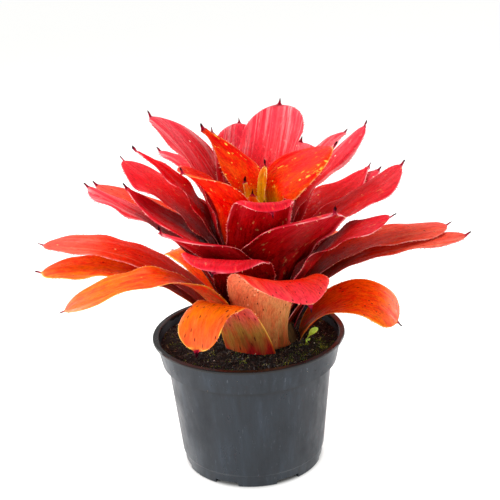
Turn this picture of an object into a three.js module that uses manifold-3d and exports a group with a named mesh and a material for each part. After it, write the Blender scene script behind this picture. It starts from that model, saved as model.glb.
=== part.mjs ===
// A bromeliad rosette growing in a plastic nursery pot.
// Millimetres, +Z up. The origin is the centre of the flat base that the pot stands on.
// -Y is the front and +X the right.
import * as THREE from "three";
import Module from "manifold-3d";
import { mergeVertices } from "three/addons/utils/BufferGeometryUtils.js";

const wasm = await Module();
wasm.setup();

// Driving dimensions of the pot
const POT = {
  rimRadius: 82.5,
  height: 117.5,
  lip: 5,
  bandRadius: 75.5,
  bandHeight: 23,
  shoulder: 5,
  ridgeRadius: 62.5,
  ridgeHeight: 12,
  footRadius: 60.5,
  wall: 1.6,
  floor: 2,
  sides: 56,
};

// The drain notches round its foot, the first at an angle in degrees anticlockwise from +X
const NOTCH = { count: 7, first: -165, width: 21, height: 4, depth: 7 };

// lump is how far the soil's top rises and falls, and rings are its steps from rim to middle.
const SOIL = { top: 109, lump: 1.6, sides: 40, rings: [0.999, 0.9, 0.8, 0.7, 0.58] };

// The weed seedling beside the rosette. Its root goes down into the soil.
const SEEDLING = {
  x: 49,
  y: -11.5,
  stem: 0.9,
  root: 8,
  rise: 4,
  leafWidth: 0.36,
  leafThick: 1,
  leaves: [
    { az: 345, tilt: 76, size: 13 },
    { az: 290, tilt: 20, size: 7 },
  ],
};

// Driving dimensions of the rosette. Its axis leans a little off the pot's.
const AXIS = new THREE.Vector2(11, 4);
const STEM = { baseRadius: 39, sunk: 4, soilRadius: 33, depth: 20, top: 175, topRadius: 6, sides: 24 };

// From the outermost leaves to the heart
const LEAF_COLOURS = [0xe8701c, 0xc2141c, 0xd42a28, 0xe04a1e].map((c) => new THREE.Color(c));

// The gap that neighbouring pieces keep
const CLEAR = 0.35;

// clasp is how wide the foot is against the blade, and wrap how far, in radians, it can close
// round the stem. stand is what a flat-sided foot needs beyond the gap to clear the round stem.
// tipStart is where along the blade its tip begins to round off. hookLength is how much of the tip
// can bend down. tooth is how far a tooth stands out of the margin, and spine the tip's point.
const BLADE = {
  thick: 1,
  clasp: 1.2,
  claspEnd: 0.3,
  tipStart: 0.87,
  hookLength: 16,
  spine: 4,
  wrap: 0.95,
  stand: 0.62,
  tooth: 1.4,
  toothBase: 1.6,
  toothThick: 0.6,
  toothFrom: 0.28,
  rows: [0, 0.09, 0.19, 0.29, 0.39, 0.49, 0.59, 0.69, 0.79, 0.87, 0.91, 0.945, 0.973, 0.99, 0.998],
  columns: [-1, -0.5, 0, 0.5, 1],
};

// The leaves, from the outermost and oldest to the innermost.
// az: the way it leaves the stem, degrees anticlockwise from +X. r, z: its tip. fall: the slope
// at its tip, degrees. half: half its width. sway: degrees that its tip has drifted sideways.
// turn: degrees that the blade twists about its own length. cup: how far its margins stand above
// its midrib at mid length, and flare what the tip adds to that. rise: the slope at its foot, where
// it isn't what its place gives. pull: how long it keeps to the slopes at its two ends. point: 1
// for a tip that narrows from mid length on, 0 for a blunt one. hook: degrees that the tip bends
// down. clasp: the width of its foot, where it isn't BLADE's.
const LEAVES = [
  { az: 250, r: 89, z: 132, fall: -104, half: 21, rise: 72, pull: 1.16, sway: -16, turn: -2, cup:
    -2, flare: 3, clasp: 1.5 },
  { az: 0, r: 118, z: 118, fall: -65, half: 23, rise: 64, pull: 0.48, turn: 30, clasp: 0.5 },
  { az: 100, r: 164, z: 148, fall: -22, half: 24, rise: 52, pull: 0.44, turn: -3 },
  { az: 270, r: 109, z: 179, fall: -99, half: 37, rise: 90, pull: 0.51, sway: 20, turn: -6, cup: 5,
    flare: 2, point: 0.4, clasp: 1.3 },
  { az: 128, r: 137, z: 153, fall: -26, half: 21, rise: 54, sway: -3, turn: -2, cup: 0, clasp: 1.4 },
  { az: 178, r: 185, z: 176, fall: -10, half: 22, turn: -8, clasp: 1.1 },
  { az: 60, r: 160, z: 155, fall: -25, half: 24 },
  { az: 220, r: 165, z: 154, fall: -41, half: 22, rise: 65, pull: 0.58, sway: -30, cup: 4, clasp: 0.1 },
  { az: 28, r: 125, z: 178, fall: 0, half: 18, rise: 56, clasp: 1.5 },
  { az: 172, r: 186, z: 194, fall: -5, half: 21, rise: 53, turn: -5, cup: -1, clasp: 1.3 },
  { az: 85, r: 165, z: 175, fall: -10, half: 24 },
  { az: 247, r: 100, z: 214, fall: 11, half: 40, rise: 69, pull: 0.45, sway: 2, cup: 2, hook: 65,
    clasp: 1.1 },
  { az: 0, r: 174, z: 195, fall: 10, half: 17, rise: 60, clasp: 1.4 },
  { az: 149, r: 157, z: 232, fall: 20, half: 22, rise: 62, pull: 0.46, sway: 4, flare: -2,
    point: 0.2, clasp: 1.1 },
  { az: 173, r: 150, z: 238, fall: 19, half: 22, rise: 70, pull: 0.43, sway: -10, turn: 8, cup: 4,
    flare: -7, clasp: 1.1 },
  { az: 12, r: 165, z: 196, fall: 5, half: 27, rise: 63, pull: 0.41, sway: -3, turn: -2, flare: -4 },
  { az: 236, r: 88, z: 224, fall: 42, half: 46, rise: 72, pull: 0.67, sway: -25, turn: 7, flare: 9,
    point: 0.3, clasp: 0.9 },
  { az: 34, r: 150, z: 227, fall: 9, half: 16, rise: 63, pull: 0.4, sway: 7, turn: 7, cup: 0,
    point: 0.5, clasp: 0.9 },
  { az: 341, r: 110, z: 218, fall: 7, half: 24, rise: 61, pull: 0.41, sway: 12, flare: -8, clasp: 1.1 },
  { az: 197, r: 114, z: 239, fall: 31, half: 35, rise: 76, pull: 0.59, sway: -34, cup: 0, flare: 2,
    point: 1, clasp: 0.8 },
  { az: 95, r: 140, z: 225, fall: 20, half: 24 },
  { az: 279, r: 79, z: 237, fall: 43, half: 46, rise: 78, pull: 0.4, sway: 39, turn: -8, cup: -1,
    flare: -3, point: 0.3, clasp: 0.9 },
  { az: 37, r: 142, z: 231, fall: 20, half: 26, rise: 78, pull: 0.53, sway: 6, turn: 7, cup: 0,
    point: 0.8, clasp: 1.1 },
  { az: 162, r: 126, z: 257, fall: 21, half: 31, rise: 75, sway: -9, turn: 6, cup: 0, flare: -7,
    point: 0.1, clasp: 1.3 },
  { az: 7, r: 131, z: 247, fall: 30, half: 23, rise: 82, pull: 0.44, sway: 10, turn: 2, cup: 0,
    flare: -8, point: 0.1 },
  { az: 259, r: 66, z: 258, fall: 69, half: 28, rise: 73, pull: 0.32, sway: 20, turn: -4, cup: 1,
    flare: 7, hook: 140 },
  { az: 127, r: 112, z: 261, fall: 17, half: 14, rise: 70, pull: 0.47, sway: 11, turn: 11, cup: 0,
    point: 0.1, hook: 6 },
  { az: 53, r: 102, z: 258, fall: 27, half: 26, rise: 83, pull: 0.35, sway: 12, cup: -1, clasp: 0.7 },
  { az: 176, r: 97, z: 276, fall: 31, half: 15, rise: 66, pull: 0.43, sway: -4, turn: -4, cup: 0,
    point: 0.7 },
  { az: 51, r: 123, z: 268, fall: 21, half: 12, rise: 79, sway: -3, turn: -4, cup: 0, flare: 3,
    point: 0.2, hook: 17 },
  { az: 152, r: 90, z: 300, fall: 40, half: 37, rise: 64, pull: 0.45, sway: 7, turn: 7, cup: 2,
    point: 0.1, clasp: 0.6 },
  { az: 217, r: 79, z: 275, fall: 35, half: 44, rise: 65, pull: 0.57, sway: 9, turn: -8, cup: 6,
    flare: 14, point: 0.3, clasp: 0.6 },
  { az: 31, r: 112, z: 278, fall: 38, half: 14, rise: 71, pull: 0.6, flare: -6, clasp: 0.6 },
  { az: 114, r: 79, z: 282, fall: 42, half: 26, rise: 74, sway: -16, turn: 5, cup: 1, flare: -3,
    point: 0.1, hook: 13 },
  { az: 275, r: 29, z: 236, fall: 70, half: 13, rise: 77, pull: 0.39, sway: 7, turn: -4, cup: 0 },
  { az: 65, r: 85, z: 295, fall: 41, half: 37, rise: 73, pull: 0.67, sway: 8, turn: -11, cup: 0,
    flare: 3, clasp: 0.8 },
  { az: 115, r: 71, z: 277, fall: 43, half: 8, rise: 76, pull: 0.7, sway: 4, cup: 2, clasp: 0.4 },
  { az: 30, r: 64, z: 276, fall: 31, half: 31, rise: 77, pull: 0.75, sway: -31, turn: 22, cup: -3,
    flare: -8, point: 0.3, clasp: 0.3 },
  { az: 93, r: 55, z: 286, fall: 41, half: 27, rise: 82, pull: 0.8, sway: 46, turn: -12, cup: -2,
    flare: -8, point: 1, clasp: 0.8 },
  { az: 256, r: 14, z: 241, fall: 85, half: 8, rise: 82, pull: 0.59, sway: 3, turn: -8, clasp: 1 },
  { az: 30, r: 10, z: 260, fall: 78, half: 9, rise: 85, turn: 2, cup: 2, clasp: 1 },
  { az: 161, r: 9, z: 247, fall: 79, half: 6, rise: 90, pull: 0.46, turn: -8, cup: 1, clasp: 1.1 },
];

const mix = THREE.MathUtils.lerp;
const radians = THREE.MathUtils.degToRad;

// Where the stem's side lies at a share of the way up its leafy part.
const stemAt = (share) => ({
  r: mix(STEM.soilRadius, STEM.topRadius, share),
  z: mix(SOIL.top - STEM.sunk, STEM.top, share),
});

// The share of the blade's greatest half width at t along it: a broad clasping sheath,
// a strap with nearly even sides, and a blunt round tip.
function outline(t, clasp = BLADE.clasp, point = 0) {
  const sheath = t < BLADE.claspEnd ? (clasp - 1) * (1 - t / BLADE.claspEnd) ** 2 : 0;
  const swell = 0.08 * Math.sin(Math.PI * t);
  const start = BLADE.tipStart - 0.35 * point;
  const past = Math.max(0, (t - start) / (1 - start));
  return (0.92 + sheath + swell) * (1 - past * past) ** (0.5 + 0.4 * point);
}

// A leaf's middle line whose last stretch, BLADE.hookLength long, bends down into an arc.
function hooked(line, leaf, t) {
  const from = 1 - BLADE.hookLength / leaf.length;
  if (t < from) return [line.getPoint(t), line.getTangent(t)];
  const start = line.getPoint(from);
  const first = line.getTangent(from).angle();
  const bend = radians(leaf.hook) / BLADE.hookLength;
  const angle = first - bend * (t - from) * leaf.length;
  start.x += (Math.sin(first) - Math.sin(angle)) / bend;
  start.y += (Math.cos(angle) - Math.cos(first)) / bend;
  return [start, new THREE.Vector2(Math.cos(angle), Math.sin(angle))];
}

// The blade's middle surface at t along it and u across it, from -1 to 1.
function bladePoint(leaf, t, u) {
  const chord = Math.hypot(leaf.r - leaf.foot.r, leaf.z - leaf.foot.z);
  const pull = (leaf.pull ?? 0.42) * chord;
  const [a, b] = [radians(leaf.rise), radians(leaf.fall)];
  const line = new THREE.CubicBezierCurve(
    new THREE.Vector2(leaf.foot.r, leaf.foot.z),
    new THREE.Vector2(leaf.foot.r + pull * Math.cos(a), leaf.foot.z + pull * Math.sin(a)),
    new THREE.Vector2(leaf.r - pull * Math.cos(b), leaf.z - pull * Math.sin(b)),
    new THREE.Vector2(leaf.r, leaf.z),
  );
  const [on, slope] = leaf.hook ? hooked(line, leaf, t) : [line.getPoint(t), line.getTangent(t)];
  const width = outline(t, leaf.clasp, leaf.point);
  const side = leaf.half * width * u;
  const turn = radians(leaf.turn ?? 0) * THREE.MathUtils.smoothstep(t, 0.2, 0.8);
  const arc = BLADE.wrap * Math.tanh((side * Math.cos(turn)) / on.x / BLADE.wrap);
  const out = radians(leaf.az + (leaf.sway ?? 0) * t * t) + arc;
  const cup = (leaf.cup ?? 3) * Math.sin(Math.PI * t ** 0.65) + (leaf.flare ?? 0) * t ** 4;
  const lift = cup * (width * u) ** 2 + side * Math.sin(turn);
  const r = on.x - slope.y * lift;
  return new THREE.Vector3(
    AXIS.x + r * Math.cos(out),
    AXIS.y + r * Math.sin(out),
    on.y + slope.x * lift,
  );
}

// The leaf as one closed shell. Its section is a lens, so that the two margins are sharp, and
// small forward teeth stand out of them, on one margin and the other by turns. A spine ends it.
function leafGeometry(leaf) {
  const { rows, columns } = BLADE;
  const cols = columns.length;
  const mids = [];
  const halves = [];
  const point = (t, u, thick) => {
    halves.push(thick / 2);
    return mids.push(bladePoint(leaf, t, u)) - 1;
  };
  rows.forEach((t) => columns.forEach((u) => point(t, u, BLADE.thick * Math.sqrt(1 - u * u))));

  const cells = [];
  const tooth = (i, u) => {
    const reach = leaf.half * outline(rows[i + 1], leaf.clasp, leaf.point);
    const length = (rows[i + 1] - rows[i]) * leaf.length;
    const root = point(mix(rows[i + 1], rows[i], BLADE.toothBase / length), u, BLADE.toothThick);
    return [root, point(rows[i + 1] + 0.5 / leaf.length, u * (1 + BLADE.tooth / reach), 0)];
  };
  for (let i = 0; i + 1 < rows.length; i++)
    for (let j = 0; j + 1 < cols; j++) {
      const p = i * cols + j;
      const [q, s, w] = [p + cols, p + cols + 1, p + 1];
      const toothed = rows[i] > BLADE.toothFrom && rows[i + 1] < 0.96;
      if (j === 0 && toothed && i % 2 === 0) {
        const [root, tip] = tooth(i, -1);
        cells.push([p, root, s], [root, q, s], [q, root, tip], [p, s, w]);
      } else if (j === cols - 2 && toothed && i % 2 === 1) {
        const [root, tip] = tooth(i, 1);
        cells.push([p, q, w], [q, s, root], [q, root, w], [root, s, tip]);
      } else if (j < cols / 2 - 1) cells.push([p, q, s], [p, s, w]);
      else cells.push([p, q, w], [q, s, w]);
    }

  const end = bladePoint(leaf, 1, 0);
  const spine = end.clone().sub(bladePoint(leaf, 0.97, 0)).setLength(BLADE.spine);
  halves.push(0);
  const apex = mids.push(end.add(spine)) - 1;
  const last = (rows.length - 1) * cols;
  for (let j = 0; j + 1 < cols; j++) cells.push([last + j, apex, last + j + 1]);
  return thicken(mids, halves, cells);
}

// A closed body round a sheet of triangles, with half its thickness given at each of its points.
// Where that is none, the two faces share the point.
function thicken(mids, halves, cells) {
  const normals = mids.map(() => new THREE.Vector3());
  for (const [a, b, c] of cells) {
    const n = mids[b].clone().sub(mids[a]).cross(mids[c].clone().sub(mids[a]));
    for (const k of [a, b, c]) normals[k].add(n);
  }
  const positions = [];
  const put = (v) => positions.push(v.x, v.y, v.z) / 3 - 1;
  const upper = [];
  const lower = [];
  mids.forEach((m, k) => {
    const offset = normals[k].setLength(halves[k]);
    upper.push(put(m.clone().add(offset)));
    lower.push(halves[k] > 0 ? put(m.clone().sub(offset)) : upper[k]);
  });

  const index = [];
  const face = (a, b, c) => {
    if (a !== b && b !== c && c !== a) index.push(a, b, c);
  };
  const rim = new Map();
  for (const [a, b, c] of cells) {
    face(upper[a], upper[b], upper[c]);
    face(lower[c], lower[b], lower[a]);
    for (const [p, q] of [[a, b], [b, c], [c, a]])
      if (!rim.delete(q + " " + p)) rim.set(p + " " + q, [p, q]);
  }
  for (const [p, q] of rim.values()) {
    face(upper[q], upper[p], lower[p]);
    face(upper[q], lower[p], lower[q]);
  }
  const g = new THREE.BufferGeometry();
  g.setAttribute("position", new THREE.Float32BufferAttribute(positions, 3));
  g.setIndex(index);
  return g;
}

// A three.js geometry as a solid to cut with, and back.
function toSolid(geometry) {
  const bare = new THREE.BufferGeometry();
  bare.setAttribute("position", geometry.getAttribute("position"));
  bare.setIndex(geometry.getIndex());
  const g = mergeVertices(bare);
  const vertProperties = new Float32Array(g.getAttribute("position").array);
  const triVerts = new Uint32Array(g.getIndex().array);
  return new wasm.Manifold(new wasm.Mesh({ numProp: 3, vertProperties, triVerts }));
}
function toGeometry(solid) {
  const mesh = solid.getMesh();
  const g = new THREE.BufferGeometry();
  g.setAttribute("position", new THREE.BufferAttribute(mesh.vertProperties, 3));
  g.setIndex(new THREE.BufferAttribute(mesh.triVerts, 1));
  return g;
}

// A round solid about an upright line through (x, y), from its outline as [radius, height] pairs.
function turned(outlinePoints, sides, x = 0, y = 0) {
  const g = new THREE.LatheGeometry(outlinePoints.map(([r, z]) => new THREE.Vector2(r, z)), sides);
  g.rotateX(Math.PI / 2);
  g.translate(x, y, 0);
  return g;
}

// The inside of the pot, from its floor to its lip.
function potInside(gap) {
  const bandFoot = POT.height - POT.bandHeight;
  return [
    [POT.footRadius - POT.wall - gap, POT.floor + gap],
    [POT.ridgeRadius - POT.wall - gap, POT.ridgeHeight],
    [POT.bandRadius - POT.shoulder - POT.wall - gap, bandFoot - 1],
    [POT.bandRadius - POT.wall - gap, bandFoot + 1],
    [POT.rimRadius - POT.lip - gap, POT.height],
  ];
}

// The pot is turned from one closed outline. Shallow drain notches are cut round its foot.
function potGeometry() {
  const top = POT.height;
  const bandFoot = top - POT.bandHeight;
  const outside = [
    [0, 0],
    [POT.footRadius, 0],
    [POT.ridgeRadius - 1, POT.ridgeHeight - 1],
    [POT.ridgeRadius, POT.ridgeHeight],
    [POT.bandRadius - POT.shoulder, bandFoot - 1],
    [POT.bandRadius, bandFoot],
    [POT.rimRadius - 3, top - 3],
    [POT.rimRadius, top - 2],
    [POT.rimRadius, top],
  ];
  let solid = toSolid(turned([...outside, ...potInside(0).reverse(), [0, POT.floor]], POT.sides));
  for (let i = 0; i < NOTCH.count; i++) {
    const box = new THREE.BoxGeometry(NOTCH.depth * 2, NOTCH.width, NOTCH.height * 2);
    box.translate(POT.footRadius, 0, 0);
    box.rotateZ(radians(NOTCH.first + (i * 360) / NOTCH.count));
    solid = solid.subtract(toSolid(box));
  }
  return toGeometry(solid);
}

// The soil fills the pot to a little under its lip, with a lumpy top, and holes for the stems.
function soilGeometry() {
  const wall = potInside(CLEAR);
  const [a, b] = wall.slice(-2);
  const edge = mix(a[0], b[0], (SOIL.top - a[1]) / (b[1] - a[1]));
  const rings = [1, ...SOIL.rings, 0].map((k) => [edge * k, SOIL.top]);
  const g = turned([[0, POT.floor + CLEAR], ...wall.slice(0, -1), ...rings], SOIL.sides);
  const at = g.getAttribute("position");
  for (let k = 0; k < at.count; k++) {
    if (at.getZ(k) < SOIL.top - 1) continue;
    const [x, y] = [at.getX(k), at.getY(k)];
    const across = Math.sin(x * 0.31 + Math.sin(y * 0.23) * 2);
    const along = Math.sin(y * 0.37 - Math.sin(x * 0.19) * 2);
    at.setZ(k, SOIL.top + (SOIL.lump / 2) * (across + along));
  }
  const hole = (x, y, r, depth) => {
    const [low, high] = [SOIL.top - depth, SOIL.top + depth];
    return toSolid(turned([[0, low], [r, low], [r, high], [0, high]], STEM.sides, x, y));
  };
  return toGeometry(
    toSolid(g)
      .subtract(hole(AXIS.x, AXIS.y, STEM.baseRadius + CLEAR, STEM.depth + CLEAR))
      .subtract(hole(SEEDLING.x, SEEDLING.y, SEEDLING.stem + CLEAR, SEEDLING.root + CLEAR)),
  );
}

// The short stem that every leaf is set on, tapering to the growing point.
const stemGeometry = () =>
  turned(
    [
      [0, SOIL.top - STEM.depth],
      [STEM.baseRadius, SOIL.top - STEM.depth],
      [STEM.baseRadius, SOIL.top - STEM.sunk - 3],
      [STEM.soilRadius, SOIL.top - STEM.sunk - 1],
      [STEM.topRadius, STEM.top],
      [0, STEM.top + 1],
    ],
    STEM.sides,
    AXIS.x,
    AXIS.y,
  );

// A weed seedling: a thin stalk with two plain seed leaves, fused.
function seedlingGeometry() {
  const top = SOIL.top + SEEDLING.rise;
  const stalk = turned(
    [
      [0, SOIL.top - SEEDLING.root],
      [SEEDLING.stem, SOIL.top - SEEDLING.root],
      [SEEDLING.stem, top],
      [0, top + SEEDLING.stem / 2],
    ],
    8,
    SEEDLING.x,
    SEEDLING.y,
  );
  let solid = toSolid(stalk);
  for (const { az, tilt, size } of SEEDLING.leaves) {
    const blade = new THREE.SphereGeometry(1, 10, 6);
    blade.scale(size / 2, (size / 2) * SEEDLING.leafWidth, SEEDLING.leafThick / 2);
    blade.translate(size / 2 - SEEDLING.stem * 0.7, 0, 0);
    blade.rotateY(-radians(tilt));
    blade.rotateZ(radians(az));
    blade.translate(SEEDLING.x, SEEDLING.y, top - 0.3);
    solid = solid.add(toSolid(blade));
  }
  return toGeometry(solid);
}

function leafColour(share) {
  const place = share * (LEAF_COLOURS.length - 1);
  const k = Math.min(Math.floor(place), LEAF_COLOURS.length - 2);
  return LEAF_COLOURS[k].clone().lerp(LEAF_COLOURS[k + 1], place - k);
}

const part = new THREE.Group();
function addMesh(name, geometry, color, roughness) {
  const mesh = new THREE.Mesh(geometry, new THREE.MeshStandardMaterial({ color, roughness }));
  mesh.name = name;
  part.add(mesh);
}
addMesh("pot", potGeometry(), 0x555b63, 0.5);
addMesh("soil", soilGeometry(), 0x1c1713, 0.95);
addMesh("stem", stemGeometry(), 0x8a7a3c, 0.6);
addMesh("seedling", seedlingGeometry(), 0x9ccc3c, 0.5);
LEAVES.forEach((leaf, i) => {
  const share = (i + 0.5) / LEAVES.length;
  leaf.foot = stemAt(share);
  leaf.foot.r += BLADE.thick / 2 + BLADE.stand + CLEAR;
  leaf.rise ??= mix(50, 82, share);
  leaf.length = Math.hypot(leaf.r - leaf.foot.r, leaf.z - leaf.foot.z) * 1.15;
  addMesh("leaf_" + String(i + 1).padStart(2, "0"), leafGeometry(leaf), leafColour(share), 0.4);
});

export default part;
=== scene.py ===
"""The finished look of a red bromeliad rosette growing in a plastic nursery pot.

Lengths are in millimetres and become metres where a mesh is made. +Z is up, the origin is the
centre of the pot's base, -Y is the front. Angles round the plant are degrees anticlockwise
from +X.
"""

import math

import bmesh
import bpy
import numpy as np
from mathutils import Matrix, Vector, noise


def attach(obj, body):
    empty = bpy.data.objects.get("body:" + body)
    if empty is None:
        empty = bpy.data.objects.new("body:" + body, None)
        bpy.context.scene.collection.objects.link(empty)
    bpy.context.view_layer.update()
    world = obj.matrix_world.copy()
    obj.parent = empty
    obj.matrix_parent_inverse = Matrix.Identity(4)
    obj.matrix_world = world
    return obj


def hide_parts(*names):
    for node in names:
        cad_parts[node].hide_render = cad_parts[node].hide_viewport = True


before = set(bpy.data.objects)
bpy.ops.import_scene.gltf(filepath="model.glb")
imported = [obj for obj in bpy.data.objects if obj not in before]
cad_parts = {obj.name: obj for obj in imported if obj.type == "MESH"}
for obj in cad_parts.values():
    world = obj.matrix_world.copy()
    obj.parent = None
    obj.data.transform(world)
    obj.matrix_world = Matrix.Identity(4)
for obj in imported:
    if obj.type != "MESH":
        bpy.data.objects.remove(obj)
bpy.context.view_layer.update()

MM = 0.001

# The pot and the soil, as the frame has them
POT = dict(rim=82.5, height=117.5, lip=5, band=75.5, band_height=23, shoulder=5,
           ridge=62.5, ridge_height=12, foot=60.5, wall=1.6, floor=2)
BAND_FOOT = POT["height"] - POT["band_height"]
NOTCH = dict(count=7, first=-165, width=21, height=4, depth=7)
POT_SIDES, SOIL_SIDES, SOIL_RINGS = 144, 150, 46
SOIL_TOP = 109

# The mossy patches of the soil: middle x and y, spread along x and y, and how thick the moss is
MOSS_PATCHES = ((62, -22, 16, 20, 1.0), (38, -46, 18, 14, 0.7), (-62, -4, 10, 14, 0.5),
                (-20, 62, 22, 9, 0.8))

# The seedling's foot, and its two leaves: azimuth, tilt, twist, length and half width
SEEDLING = dict(x=49, y=-11.5, sunk=2.0, stalk=5, stalk_radius=0.8,
                leaves=((350, 62, 75, 15, 2.8), (285, 30, 10, 7.5, 2.0)))

# The rosette's axis, and the short stem that the leaves clasp
AXIS = (11, 4)
STEM_LOW = (33, SOIL_TOP - 4)
STEM_HIGH = (6, 175)

# How a blade is shaped. Starts and ends are shares of its length.
THICK = 1.0
STAND = 1.5
SLACK = 1.15
RISE = (50, 32)
PULL = 0.42
CUP = 3
CLASP = 1.2
CLASP_END = 0.3
STRAP = (0.92, 0.08)
TIP_START = 0.87
POINT_START = 0.35
HOOK_LENGTH = 16
WRAP = 0.95
ROLL = 1.0
ROLL_WIDTH = 5.0
WAVE = (0.4, 0.5)
SWELL = 0.35
PLEAT = 0.16
SPINE_LENGTH = 6.0
SPINE_HALF = 0.6
SPINE_LIFT = 1.6
CUSP = 2.2
CUSP_LENGTH = 1.3
ROWS, TIP_ROWS, SPINE_ROWS, COLUMNS = 56, 16, 7, 25

# The small teeth on the margins. sizes are the smallest and the largest share of the full size.
TOOTH = dict(length=1.7, radius=0.42, spacing=3.4, start=0.3, stop=0.985, jitter=0.3, lean=0.75,
             sunk=0.25, sides=5, sizes=(0.65, 1.15))

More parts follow.
